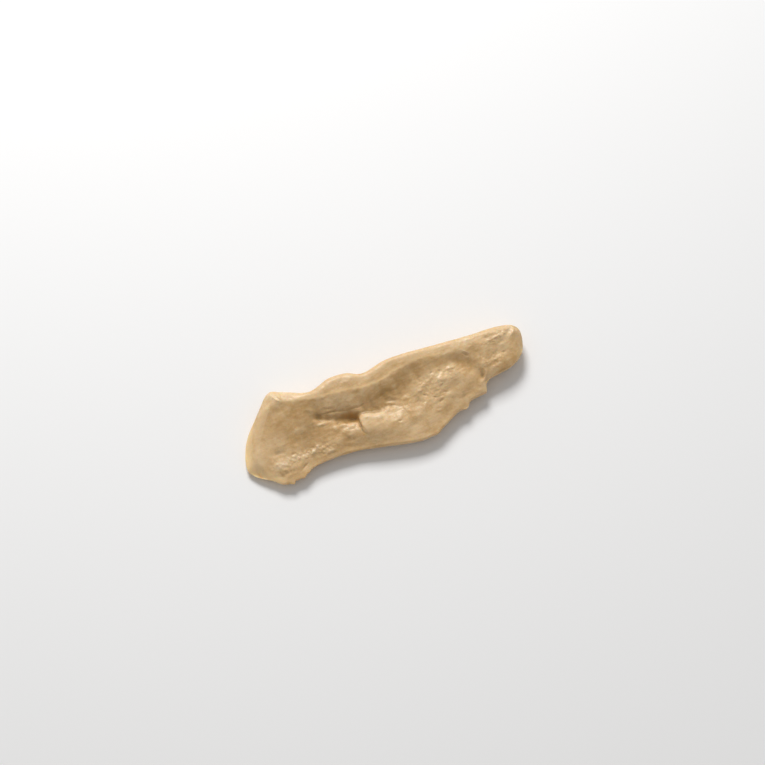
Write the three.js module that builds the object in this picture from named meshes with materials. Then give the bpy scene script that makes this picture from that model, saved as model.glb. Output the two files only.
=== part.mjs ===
// A steamed duck fillet, lying flat: one solid of cooked meat.
// Millimetres, +Z up. X runs along the fillet from its broad tail (-X) to its small end lobe (+X), and Y from
// the thin front edge (-Y) to the rolled back edge (+Y). The origin is on the resting plane, under the middle
// of the box.

import * as THREE from "three";

// The outline seen from above, clockwise from the back corner of the tail. Each row is x, y, the height of the
// widest edge, how far in from it the top falls away, and how full that fall is (2 round, 1 straight).
const backEdge = [
  [-29.2, 16.8, 4.2, 2, 2.3],
  [-25.3, 15, 4.8, 2.4, 2.4],
  [-18.9, 11.1, 5, 2.4, 2.4],
  [-12.3, 12.1, 5, 2.8, 2.4],
  [-6.9, 11.2, 5, 2.8, 2.4],
  [-2.7, 9, 5, 2.4, 2.4],
  [5.2, 9.5, 5, 2.4, 2.4],
  [17.5, 7.5, 5, 2.3, 2.4],
  [28.3, 5.6, 4.8, 2.3, 2.3],
  [38.1, 4.2, 4.4, 2.5, 2.2],
  [42.6, 2.9, 4.2, 2.8, 2.1],
];
const lobeEdge = [
  [44.2, 0.4, 4, 3, 2],
  [43.3, -3.1, 4.2, 2, 2],
  [40.9, -6.5, 4.8, 1, 2],
];
const frontEdge = [
  [36.7, -8.4, 5.1, 0.7, 2],
  [30.2, -8.7, 5.1, 0.6, 2],
  [28.3, -9.6, 4.4, 0.6, 2],
  [27.1, -11.3, 3.8, 0.5, 2],
  [21.3, -12, 4, 0.45, 2],
  [16.7, -13.3, 4, 0.45, 2],
  [10, -15.5, 4, 0.45, 2],
  [3.4, -16, 4, 0.45, 2],
  [-8.5, -12, 3.9, 0.45, 2],
  [-14.9, -9.9, 3.6, 0.45, 2],
  [-25.3, -8.5, 3.3, 0.45, 2],
  [-35.7, -9.6, 2.8, 0.45, 2],
];
const tailEdge = [
  [-39.5, -6.5, 2.2, 1, 1.9],
  [-43.7, -2.1, 1.6, 3, 1.7],
  [-43.9, 1.7, 1.6, 3.4, 1.7],
  [-40.4, 8, 1.8, 3.4, 1.7],
  [-33.8, 13.7, 3, 2.6, 1.9],
];

// Small frills on the thin front edge: x along it, how far they stand out, and their half width
const frills = [
  [26.4, 0.5, 1],
  [19.3, 0.9, 1],
  [8.2, 0.4, 1.6],
  [-31.2, 0.8, 1.1],
  [-35.1, 0.6, 0.9],
];

// Every cross-section runs from the crest of the rolled rim down to a foot in the valley, over the front mound
// and down to the front edge. Each line has rows x, y and height, then for the crest how steeply the rim falls
// behind it, and for the mound how softly it turns.
const crestLine = [
  [-44, -0.5, 3.9, 0.6],
  [-42.2, 1.6, 4.4, 0.6],
  [-38.3, 6.8, 5.5, 0.5],
  [-34.4, 11.2, 6.9, 0.3],
  [-29.5, 12.4, 8.3, 0.15],
  [-24, 10.2, 9.2, 0.16],
  [-18, 7.5, 9.6, -0.1],
  [-12, 6.2, 9.6, -0.12],
  [-5, 4.4, 9.2, -0.12],
  [0, 3.7, 9.1, -0.12],
  [6, 4.4, 9.5, -0.12],
  [13, 4.4, 9.6, -0.1],
  [20, 2.7, 9.1, -0.04],
  [28, 1.3, 8.7, -0.02],
  [36, 0.7, 8.5, -0.02],
  [42, -0.2, 7.6, 0.05],
];
const footLine = [
  [-44, -2, 3.6],
  [-40, -1.8, 4.4],
  [-34, -2.9, 4.4],
  [-27, -3.9, 4.5],
  [-22.5, 1, 5.9],
  [-19.5, 2.3, 6.4],
  [-16, 0.5, 5.9],
  [-12, -1.8, 4.9],
  [-8, -1.7, 5.3],
  [-3, -2.2, 5.2],
  [2, -2, 5.4],
  [6, -0.8, 6.5],
  [10, 0.2, 7.3],
  [15, 0.4, 7.8],
  [20, -0.4, 7.7],
  [24, -1.6, 7.2],
  [28, -2.6, 7.4],
  [33, -3.4, 7.2],
  [38, -3.2, 7.1],
  [43, -2.8, 6.3],
];
const moundLine = [
  [-44, -3, 3, 2.4],
  [-39, -4, 4.4, 2.4],
  [-35, -4.8, 4.8, 2],
  [-28, -5.4, 4.8, 2],
  [-22, -5.6, 4.9, 2.4],
  [-14, -5.5, 5.7, 2.4],
  [-8, -7, 6.5, 2.4],
  [-3, -7.6, 6.9, 2.4],
  [1, -8.2, 6.7, 2.4],
  [6, -8, 6.3, 2.4],
  [10, -6.5, 6.6, 2.4],
  [15, -5.4, 7.4, 2.4],
  [20, -5.2, 7.1, 2.4],
  [24, -5.8, 6.7, 2.4],
  [28, -6.6, 6.7, 1.6],
  [33, -6.9, 6.4, 1.4],
  [38, -6.4, 6.3, 1.4],
  [43, -4.7, 5.4, 1.6],
];
const crestSoftness = 0.45;
const footSoftness = 1.6;

// How far the crest and the foot stray from their lines
const crestWander = 0.22;
const footWander = 0.4;

// How far the top stands above the widest edge along the front, before it falls away to it
const frontLip = 0.3;

// The moat between the front mound and the end lobe: x, y and the share of its full depth
const moatLine = [
  [17.5, 0.3, 0.1],
  [22, -0.3, 0.4],
  [25, -1.8, 0.7],
  [26.6, -4.2, 0.9],
  [27.4, -6.6, 1],
  [28.2, -8.6, 0.5],
];
const moatDepth = 0.75;
const moatWidth = 1.3;

// The flap of muscle with a free corner over the valley. Its two free edges run from the corner, as rows x, y.
const flapLeftEdge = [
  [-10.4, -9.5],
  [-10.1, -5],
  [-9.7, -1.9],
];
const flapBrow = [
  [-9.7, -1.9],
  [-7, -2.4],
  [-5, -3.4],
  [-1, -3.3],
  [4, -2.3],
  [8, -1],
];
const flapRise = 1.2;
const flapLeftWidth = 0.5;
const flapBrowWidth = 2.6;
const flapReach = [9, 8];

// The slot that the valley narrows to beside the flap: x, y and the share of its full depth
const slotLine = [
  [-21.3, 3.4, 0.2],
  [-18.5, 1.8, 0.7],
  [-16, 0.7, 0.9],
  [-14, -0.1, 1],
  [-12, -0.8, 1],
  [-10.5, -1.5, 0.9],
];
const slotDepth = 1.15;
const slotWidth = 0.95;

// Rounded swellings, and hollows where the height is negative: centre, half sizes, turn in degrees, height
const swellings = [
  { at: [-12.8, -4.8], size: [2.2, 1.9], turn: -10, height: 0.6 }, // small muscle under the flap's corner
  { at: [-12.8, -3.5], size: [0.9, 0.8], turn: 0, height: 0.25 },
  { at: [-16.8, -2], size: [1.4, 0.8], turn: -25, height: 0.25 },
  { at: [-11, -1.3], size: [1.1, 0.8], turn: -40, height: -0.5 }, // pit at the flap's corner
  { at: [-7.2, -3.2], size: [1.5, 0.9], turn: -35, height: 0.3 }, // knuckles on the flap's brow
  { at: [-4, -5], size: [1.2, 0.8], turn: -10, height: 0.3 },
  { at: [0.3, -2.4], size: [1, 0.7], turn: -25, height: 0.3 },
  { at: [1.3, -7.2], size: [1, 0.7], turn: 35, height: 0.3 },
  { at: [3.9, -6.4], size: [1, 0.8], turn: -25, height: 0.3 },
  { at: [10.6, -2.7], size: [1.2, 0.8], turn: 20, height: 0.3 }, // lumps of the second mound
  { at: [16.4, -3.4], size: [1.4, 1], turn: -20, height: 0.25 },
  { at: [20.1, -1.6], size: [1.1, 0.7], turn: 0, height: 0.3 },
  { at: [21.6, -4.6], size: [1.8, 1.1], turn: 0, height: 0.2 },
  { at: [24.2, -7.2], size: [1.8, 1.4], turn: 0, height: 0.2 },
  { at: [13.4, -7.4], size: [1.6, 0.7], turn: 0, height: -0.25 },
  { at: [19.4, -6.6], size: [0.8, 1.4], turn: -28, height: -0.25 },
  { at: [29, -7.2], size: [0.9, 1.2], turn: 30, height: 0.25 }, // lobe's own edge along the neck
  { at: [32.6, -5], size: [1, 0.8], turn: 0, height: 0.25 },
  { at: [40.4, 0.4], size: [1, 0.8], turn: 20, height: -0.35 }, // dimple in the lobe's end
  { at: [-34.4, 2.6], size: [3.6, 2.2], turn: 20, height: 0.25 }, // uneven middle of the tail
  { at: [-24.6, -2.6], size: [2.4, 1.8], turn: 60, height: -0.25 },
  { at: [-36.2, -4.2], size: [1.5, 1], turn: -8, height: 0.3 }, // knuckles along the tail's front
  { at: [-30.2, -4.1], size: [1.2, 0.8], turn: -15, height: 0.25 },
  { at: [-25.6, -5], size: [0.9, 0.7], turn: 12, height: 0.45 },
  { at: [-21.4, -6.8], size: [1, 0.7], turn: 0, height: 0.2 },
  { at: [-31, 13.6], size: [1, 1.5], turn: -25, height: -0.35 }, // folds at the back corner
  { at: [-33.4, 13], size: [0.7, 1.8], turn: -35, height: 0.4 },
  { at: [-28.6, 13.8], size: [0.8, 1.6], turn: 20, height: 0.45 },
  { at: [-24.4, 13.2], size: [1.4, 0.9], turn: -25, height: 0.2 },
];

// Mesh density
const ribsAlong = 80;
const ribsRoundEnd = 13;
const roundingRings = 4;
const topRings = 18;
const undersideRoundingRings = 3;
const undersideRings = 5;

// Where the underside leaves the resting plane, in from the edge
const undersideRounding = 3.2;

const bell = (distance, width) => Math.exp(-(distance * distance) / (2 * width * width));
const clamp01 = (t) => Math.min(1, Math.max(0, t));
const smooth = (t) => clamp01(t) ** 2 * (3 - 2 * clamp01(t));

// A smooth curve through rows of x and other numbers, which gives those numbers for any x
function curveAlongX(rows) {
  const [, ...others] = rows[0];
  const places = rows.map(([x]) => x);
  const values = rows.flatMap(([, ...numbers]) => numbers);
  return new THREE.CubicInterpolant(places, values, others.length, new Float64Array(others.length));
}

// A smooth line through rows of x, y and a share, as many short steps
function lineThrough(rows, steps = 40) {
  const points = rows.map(([x, y, share = 1]) => new THREE.Vector3(x, y, share));
  return new THREE.CatmullRomCurve3(points, false, "catmullrom").getSpacedPoints(steps);
}

// How far a spot is from a line, and the line's share at its nearest point
function nearLine(line, x, y) {
  let best = { distance: Infinity, share: 0 };
  for (let i = 0; i + 1 < line.length; i++) {
    const a = line[i];
    const b = line[i + 1];
    const dx = b.x - a.x;
    const dy = b.y - a.y;
    const t = clamp01(((x - a.x) * dx + (y - a.y) * dy) / (dx * dx + dy * dy));
    const distance = Math.hypot(x - (a.x + t * dx), y - (a.y + t * dy));
    if (distance < best.distance) best = { distance, share: a.z + t * (b.z - a.z) };
  }
  return best;
}

const crest = curveAlongX(crestLine);
const foot = curveAlongX(footLine);
const mound = curveAlongX(moundLine);
const frontRows = [...lobeEdge.slice(1), ...frontEdge, ...tailEdge.slice(0, 2)].reverse();
const front = curveAlongX(frontRows.map(([x, y, height]) => [x, y, height + frontLip]));
const flapLeft = curveAlongX(flapLeftEdge.map(([x, y]) => [y, x]));
const brow = curveAlongX(flapBrow);
const moat = lineThrough(moatLine);
const slot = lineThrough(slotLine);

// Slow unevenness of cooked meat, the same each time
function unevenness(x, y) {
  const long = Math.sin(0.31 * x + 0.52 * y + 0.8) * Math.sin(0.23 * y - 0.17 * x + 2.1);
  const short = Math.sin(0.83 * x - 0.47 * y + 1.7 * Math.sin(0.29 * y)) * Math.sin(0.71 * y + 0.26 * x + 0.6);
  return 0.12 * long + 0.08 * short;
}

// How a torn edge strays from its line, from -1 to 1
const wander = (x) => 0.6 * Math.sin(1.3 * x + 2 * Math.sin(0.37 * x)) + 0.4 * Math.sin(2.9 * x + 1.1);

// 1 on the flap near its corner, falling to 0 past its two free edges and away from the corner
function onFlap(x, y) {
  const [leftX] = flapLeft.evaluate(y);
  const [browY] = brow.evaluate(x);
  const pastLeft = smooth((x - leftX) / flapLeftWidth + 0.5);
  const pastBrow = smooth((browY - y) / flapBrowWidth + 0.5);
  const [cornerX, cornerY] = flapBrow[0];
  const far = ((x - cornerX) / flapReach[0]) ** 2 + ((y - cornerY) / flapReach[1]) ** 2;
  return pastLeft * pastBrow * Math.exp(-far);
}

// 0 before a line and the distance past it after, with a soft turn between
const turned = (past, softness) => (past + Math.hypot(past, softness)) / 2;

// The height of the top, before its edge is rounded down
function topHeight(x, y) {
  const [crestAt, crestZ, behind] = crest.evaluate(x);
  const crestY = crestAt + crestWander * wander(x);
  const [footAt, footZ] = foot.evaluate(x);
  const footY = footAt + footWander * wander(x + 5);
  const [moundY, moundZ, moundSoftness] = mound.evaluate(x);
  const [frontY, frontZ] = front.evaluate(x);
  const toFoot = (footZ - crestZ) / (crestY - footY);
  const toMound = (moundZ - footZ) / (footY - moundY);
  const toFront = (frontZ - moundZ) / Math.max(moundY - frontY, 0.5);
  let z = crestZ + behind * (crestY - y) + (toFoot - behind) * turned(crestY - y, crestSoftness);
  z += (toMound - toFoot) * turned(footY - y, footSoftness);
  z += (toFront - toMound) * turned(moundY - y, moundSoftness);
  z += unevenness(x, y) + flapRise * onFlap(x, y);

  const toMoat = nearLine(moat, x, y);
  z -= moatDepth * toMoat.share * bell(toMoat.distance, moatWidth);
  const toSlot = nearLine(slot, x, y);
  z -= slotDepth * toSlot.share * bell(toSlot.distance, slotWidth);

  for (const { at, size, turn, height } of swellings) {
    const c = Math.cos(THREE.MathUtils.degToRad(turn));
    const s = Math.sin(THREE.MathUtils.degToRad(turn));
    const dx = x - at[0];
    const dy = y - at[1];
    z += height * bell((c * dx + s * dy) / size[0], 1) * bell((c * dy - s * dx) / size[1], 1);
  }
  return z;
}

// The outline as ribs. Each rib starts at an edge point and runs in to the middle line of the fillet: equal
// numbers along the back and the front, which share their inner ends, and a fan round each end.
function outlineRibs() {
  const rows = [...backEdge, ...lobeEdge, ...frontEdge, ...tailEdge];
  const places = rows.map(([x, y]) => new THREE.Vector3(x, y, 0));
  const edges = rows.map(([, , ...numbers]) => new THREE.Vector3(...numbers));
  const place = new THREE.CatmullRomCurve3(places, true, "catmullrom");
  const edge = new THREE.CatmullRomCurve3(edges, true, "catmullrom");
  const starts = [0, backEdge.length - 1, backEdge.length + lobeEdge.length,
    backEdge.length + lobeEdge.length + frontEdge.length - 1, rows.length].map((row) => row / rows.length);
  const counts = [ribsAlong, ribsRoundEnd, ribsAlong, ribsRoundEnd];

  const finePoints = 400;
  const ribs = [];
  counts.forEach((count, stretch) => {
    const [from, to] = [starts[stretch], starts[stretch + 1]];
    const fine = Array.from({ length: finePoints + 1 }, (_, i) => from + ((to - from) * i) / finePoints);
    const run = [0];
    for (let i = 1; i <= finePoints; i++)
      run.push(run[i - 1] + place.getPoint(fine[i]).distanceTo(place.getPoint(fine[i - 1])));
    for (let k = 0; k < count; k++) {
      const wanted = (run[finePoints] * k) / count;
      const i = Math.max(1, run.findIndex((r) => r >= wanted));
      const share = (wanted - run[i - 1]) / (run[i] - run[i - 1]);
      const t = fine[i - 1] + (fine[i] - fine[i - 1]) * share;
      const p = place.getPoint(t);
      const out = place.getTangent(t);
      const { x: edgeHeight, y: rounding, z: fullness } = edge.getPoint(t);
      let stands = 0;
      if (stretch === 2) for (const [x, size, width] of frills) stands += size * bell(p.x - x, width);
      ribs.push({ x: p.x - out.y * stands, y: p.y + out.x * stands, edgeHeight, rounding, fullness });
    }
  });

  // The middle line: halfway between back and front, at equal counts from the tail
  const frontStart = ribsAlong + ribsRoundEnd;
  const frontEnd = frontStart + ribsAlong;
  const middle = [];
  for (let k = 0; k <= ribsAlong; k++) {
    const onBack = ribs[k];
    const onFront = ribs[(frontEnd - k) % ribs.length];
    middle.push([(onBack.x + onFront.x) / 2, (onBack.y + onFront.y) / 2]);
  }
  // The fans start a little in from the two ends
  const fanInset = 5;
  const innerEnds = [fanInset, ribsAlong - fanInset];
  ribs.forEach((rib, i) => {
    let k = i;
    if (i > ribsAlong && i < frontStart) k = ribsAlong;
    else if (i >= frontStart && i <= frontEnd) k = frontEnd - i;
    else if (i > frontEnd) k = 0;
    rib.station = Math.min(innerEnds[1], Math.max(innerEnds[0], k));
    rib.inner = middle[rib.station];
    rib.reach = Math.hypot(rib.inner[0] - rib.x, rib.inner[1] - rib.y);
  });
  return ribs;
}

// How high the top or underside has come at a share of the way in: upright at the edge, level at the end
const roundUp = (share, fullness = 2) => (1 - (1 - clamp01(share)) ** fullness) ** (1 / fullness);

// One face of the fillet, as rings of points from just inside the edge to the middle line
function faceRings(ribs, ringsInRounding, ringsInside, roundingOf, heightAt) {
  const rings = [];
  for (let k = 1; k < ringsInRounding + ringsInside; k++) {
    rings.push(ribs.map((rib) => {
      const rounding = Math.min(roundingOf(rib), 0.6 * rib.reach);
      const inRounding = rounding * (1 - Math.cos((Math.PI / 2) * Math.min(1, k / ringsInRounding)));
      const beyond = ((rib.reach - rounding) * Math.max(0, k - ringsInRounding)) / ringsInside;
      const share = (inRounding + beyond) / rib.reach;
      const x = rib.x + (rib.inner[0] - rib.x) * share;
      const y = rib.y + (rib.inner[1] - rib.y) * share;
      return [x, y, heightAt(x, y, rib)];
    }));
  }
  return rings;
}

function filletGeometry() {
  const ribs = outlineRibs();
  const edgeLoop = [...ribs, ribs[0]].map(({ x, y }) => new THREE.Vector3(x, y, 0));
  const inFrom = (x, y) => nearLine(edgeLoop, x, y).distance;
  const topAt = (x, y, rib) => {
    const up = roundUp(inFrom(x, y) / rib.rounding, rib.fullness);
    return rib.edgeHeight + (topHeight(x, y) - rib.edgeHeight) * up;
  };
  const undersideAt = (x, y, rib) => rib.edgeHeight * (1 - roundUp(inFrom(x, y) / undersideRounding));

  const position = [];
  const index = [];
  const add = ([x, y, z]) => position.push(x, y, z) / 3 - 1;
  const edge = ribs.map((rib) => add([rib.x, rib.y, rib.edgeHeight]));

  // Joins rings to each other, and the last to the middle line, with the outside on the left of each ring
  const close = (rings, heightAt, flip) => {
    const face = (a, b, c) => {
      if (a !== b && b !== c && c !== a) index.push(...(flip ? [a, c, b] : [a, b, c]));
    };
    const innerOf = new Map();
    const inner = ribs.map((rib) => {
      const { station, inner: [x, y] } = rib;
      if (!innerOf.has(station)) innerOf.set(station, add([x, y, heightAt(x, y, rib)]));
      return innerOf.get(station);
    });
    const loops = [edge, ...rings.map((ring) => ring.map(add)), inner];
    for (let k = 0; k + 1 < loops.length; k++)
      for (let i = 0; i < ribs.length; i++) {
        const j = (i + 1) % ribs.length;
        face(loops[k][i], loops[k + 1][i], loops[k + 1][j]);
        face(loops[k][i], loops[k + 1][j], loops[k][j]);
      }
  };
  const topRounding = (rib) => rib.rounding;
  const evenRounding = () => undersideRounding;
  close(faceRings(ribs, roundingRings, topRings, topRounding, topAt), topAt, false);
  const underside = faceRings(ribs, undersideRoundingRings, undersideRings, evenRounding, undersideAt);
  close(underside, undersideAt, true);

  const geometry = new THREE.BufferGeometry();
  geometry.setAttribute("position", new THREE.Float32BufferAttribute(position, 3));
  geometry.setIndex(index);
  geometry.computeBoundingBox();
  const centre = geometry.boundingBox.getCenter(new THREE.Vector3());
  geometry.translate(-centre.x, -centre.y, 0);
  geometry.computeVertexNormals();
  return geometry;
}

const cookedMeat = new THREE.MeshStandardMaterial({ color: 0xc9a57a, roughness: 0.45, metalness: 0 });

const fillet = new THREE.Mesh(filletGeometry(), cookedMeat);
fillet.name = "duck_fillet";

const part = new THREE.Group();
part.add(fillet);

export default part;
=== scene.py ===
import math
import bpy
import numpy as np
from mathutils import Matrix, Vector


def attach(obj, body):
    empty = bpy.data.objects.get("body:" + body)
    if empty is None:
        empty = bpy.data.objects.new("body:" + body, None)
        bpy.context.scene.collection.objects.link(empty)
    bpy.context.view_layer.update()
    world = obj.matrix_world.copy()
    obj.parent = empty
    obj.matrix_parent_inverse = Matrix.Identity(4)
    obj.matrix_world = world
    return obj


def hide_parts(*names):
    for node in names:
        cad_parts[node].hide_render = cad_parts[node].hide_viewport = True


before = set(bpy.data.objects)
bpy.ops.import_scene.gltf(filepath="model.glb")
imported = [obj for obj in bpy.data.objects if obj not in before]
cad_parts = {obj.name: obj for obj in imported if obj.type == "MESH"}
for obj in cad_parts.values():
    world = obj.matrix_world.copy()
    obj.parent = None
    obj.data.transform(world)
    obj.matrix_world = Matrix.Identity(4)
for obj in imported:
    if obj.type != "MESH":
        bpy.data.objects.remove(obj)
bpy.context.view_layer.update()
mm = 0.001
print("frame loaded")

# The form is worked out in millimetres and scaled to metres where the mesh is made.
# Outline seen from above, clockwise: x, y, height of the widest edge, how far in from it the top falls
# away, and how full that fall is (2 round, 1 straight)
outline = {
    "back": [
        (-29.2, 16.8, 4.2, 2.0, 2.3),
        (-25.3, 15.0, 4.8, 2.4, 2.4),
        (-18.9, 11.1, 5.0, 2.4, 2.4),
        (-12.3, 12.1, 5.0, 2.8, 2.4),
        (-6.9, 11.2, 5.0, 2.8, 2.4),
        (-2.7, 9.0, 5.0, 2.4, 2.4),
        (5.2, 9.5, 5.0, 2.4, 2.4),
        (17.5, 7.5, 5.0, 2.3, 2.4),
        (28.3, 5.6, 4.8, 2.3, 2.3),
        (38.1, 4.2, 4.4, 2.5, 2.2),
        (42.6, 2.9, 4.2, 2.8, 2.1),
    ],
    "lobe": [
        (44.2, 0.4, 4.0, 3.0, 2.0),
        (43.3, -3.1, 4.2, 2.0, 2.0),
        (40.9, -6.5, 4.8, 1.0, 2.0),
    ],
    "front": [
        (36.7, -8.4, 5.1, 0.7, 2.0),
        (30.2, -8.7, 5.1, 0.6, 2.0),
        (28.0, -9.5, 4.4, 0.6, 2.0),
        (27.3, -10.7, 4.0, 0.5, 2.0),
        (26.7, -11.8, 3.8, 0.5, 2.0),
        (24.8, -11.8, 3.9, 0.45, 2.0),
        (21.3, -12.0, 4.0, 0.45, 2.0),
        (16.7, -13.3, 4.0, 0.45, 2.0),
        (10.0, -15.5, 4.0, 0.45, 2.0),
        (3.4, -16.0, 4.0, 0.45, 2.0),
        (-8.5, -12.0, 3.9, 0.45, 2.0),
        (-14.9, -9.9, 3.6, 0.45, 2.0),
        (-25.3, -8.5, 3.3, 0.45, 2.0),
        (-35.7, -9.6, 2.8, 0.45, 2.0),
    ],
    "tail": [
        (-39.5, -6.5, 2.5, 1.0, 1.9),
        (-43.7, -2.1, 1.6, 3.0, 1.7),
        (-43.9, 1.7, 1.6, 3.4, 1.7),
        (-40.4, 8.0, 1.8, 3.4, 1.7),
        (-33.8, 13.7, 3.0, 2.6, 1.9),
    ],
    # small frills on the thin front edge: x, how far they stand out, half width
    "frills": [
        (19.3, 1.0, 0.9),
        (8.6, 0.5, 1.1),
        (-29.2, 0.4, 0.5),
        (-31.2, 0.9, 0.8),
        (-32.9, 0.3, 0.4),
        (-34.6, 0.7, 0.45),
        (-36.3, 0.55, 0.45),
        (-37.7, 0.4, 0.4),
    ],
    "lip": 0.3,   # how far the top stands above the widest edge along the front
    "undersideRounding": 3.2,   # how far in from the edge the underside reaches the resting plane
    "mostRounding": 0.6,   # the share of a rib that the rounding takes at most
}

# How finely the surface is cut
density = {
    "outlineSteps": 40,
    "lineSteps": 8,
    "creaseSteps": 4,
    "ribsAlong": 450,
    "ribsRoundEnd": 80,
    "fanInset": 30,
    "roundingRings": 8,
    "topRings": 66,
    "undersideRoundingRings": 6,
    "undersideRings": 6,
}

# Every cross-section runs from the crest of the rolled rim down to a foot, over the front mound and down
# to the front edge. Each line is given by places along X: x, y, height, then for the crest how steep the
# rim is behind it, and for the mound how softly it turns. The crest and the foot stray a little from
# their lines, out of step with each other
sections = {
    "crest": [
        (-44.0, -0.5, 3.9, 0.6),
        (-42.2, 1.6, 4.4, 0.6),
        (-38.3, 6.8, 5.5, 0.5),
        (-34.4, 11.2, 6.9, 0.3),
        (-29.5, 12.4, 8.3, 0.25),
        (-24.0, 10.2, 9.2, 0.26),
        (-18.0, 7.5, 9.6, -0.1),
        (-12.0, 6.2, 9.6, -0.12),
        (-5.0, 4.4, 9.2, -0.12),
        (0.0, 3.7, 9.1, -0.12),
        (6.0, 4.4, 9.5, -0.12),
        (13.0, 4.4, 9.6, -0.1),
        (20.0, 2.7, 9.1, -0.04),
        (28.0, 1.3, 8.7, -0.02),
        (36.0, 0.7, 8.5, -0.02),
        (42.0, -0.2, 7.6, 0.05),
    ],
    "foot": [
        (-44.0, -2.0, 3.6),
        (-40.0, -1.8, 4.4),
        (-34.0, -2.9, 4.4),
        (-27.0, -3.9, 4.5),
        (-22.5, 1.0, 5.9),
        (-19.5, 2.3, 6.4),
        (-16.0, 0.5, 5.9),
        (-12.0, -1.8, 4.9),
        (-8.0, -1.7, 5.3),
        (-3.0, -2.2, 5.2),
        (2.0, -2.0, 5.4),
        (6.0, -0.8, 6.5),
        (10.0, 0.2, 7.3),
        (15.0, 0.4, 7.8),
        (20.0, -0.4, 7.7),
        (24.0, -1.6, 7.2),
        (28.0, -2.6, 7.4),
        (33.0, -3.4, 7.2),
        (38.0, -3.2, 7.1),
        (43.0, -2.8, 6.3),
    ],
    "mound": [
        (-44.0, -3.0, 3.0, 2.4),
        (-39.0, -4.0, 4.0, 2.4),
        (-35.0, -4.8, 4.6, 2.0),
        (-28.0, -5.4, 4.8, 2.0),
        (-22.0, -5.6, 4.9, 2.4),
        (-14.0, -5.5, 5.7, 2.4),
        (-8.0, -7.0, 6.5, 2.4),
        (-3.0, -7.6, 6.9, 2.4),
        (1.0, -8.2, 6.7, 2.4),
        (6.0, -8.0, 6.3, 2.4),
        (10.0, -6.5, 6.6, 2.4),
        (15.0, -5.4, 7.4, 2.4),
        (20.0, -5.2, 7.1, 2.4),
        (24.0, -5.8, 6.7, 2.4),
        (28.0, -6.6, 6.7, 1.6),
        (33.0, -6.9, 6.4, 1.4),
        (38.0, -6.4, 6.3, 1.4),
        (43.0, -4.7, 5.4, 1.6),
    ],
    "softness": {"crest": 0.45, "foot": 1.6},
    "wander": {"crest": 0.13, "foot": 0.4, "footShift": 5},
}

# Broad grooves: the moat between the front mound and the end lobe, and the slot that the valley narrows to
# beside the flap. Each runs through places x, y, share of the full depth, half width
grooves = {
    "moat": {
        "line": [
            (17.5, 0.3, 0.1, 1.2),
            (22.0, -0.3, 0.4, 1.2),
            (25.0, -1.8, 0.7, 1.4),
            (26.6, -4.2, 0.9, 1.4),
            (27.4, -6.6, 0.85, 1.2),
            (28.2, -8.6, 0.5, 0.8),
        ],
        "depth": 0.75,
    },
    "slot": {
        "line": [
            (-21.3, 3.4, 0.2, 0.6),
            (-18.5, 1.9, 0.45, 0.65),
            (-16.0, 0.8, 0.55, 0.7),
            (-14.0, 0.1, 0.85, 0.8),
            (-12.0, -0.6, 1.1, 0.95),
            (-10.5, -1.4, 1.0, 0.85),
        ],
        "depth": 1.15,
    },
}

# The flap of muscle with a free corner over the valley: its two free edges run from the corner, x, y. The
# step at its left edge grows wider in front of fadeFrom, and so fades out
flap = {
    "leftEdge": [(-9.7, -1.9), (-10.1, -5.0), (-10.4, -9.5)],
    "brow": [(-9.7, -1.9), (-7.0, -2.4), (-5.0, -3.4), (-1.0, -3.3), (4.0, -2.3), (8.0, -1.0)],
    "rise": 1.2,
    "leftWidth": 0.5,
    "leftFade": 0.7,
    "fadeFrom": -5,
    "browWidth": 2.6,
    "reach": (7.8, 8.0),
}

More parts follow.
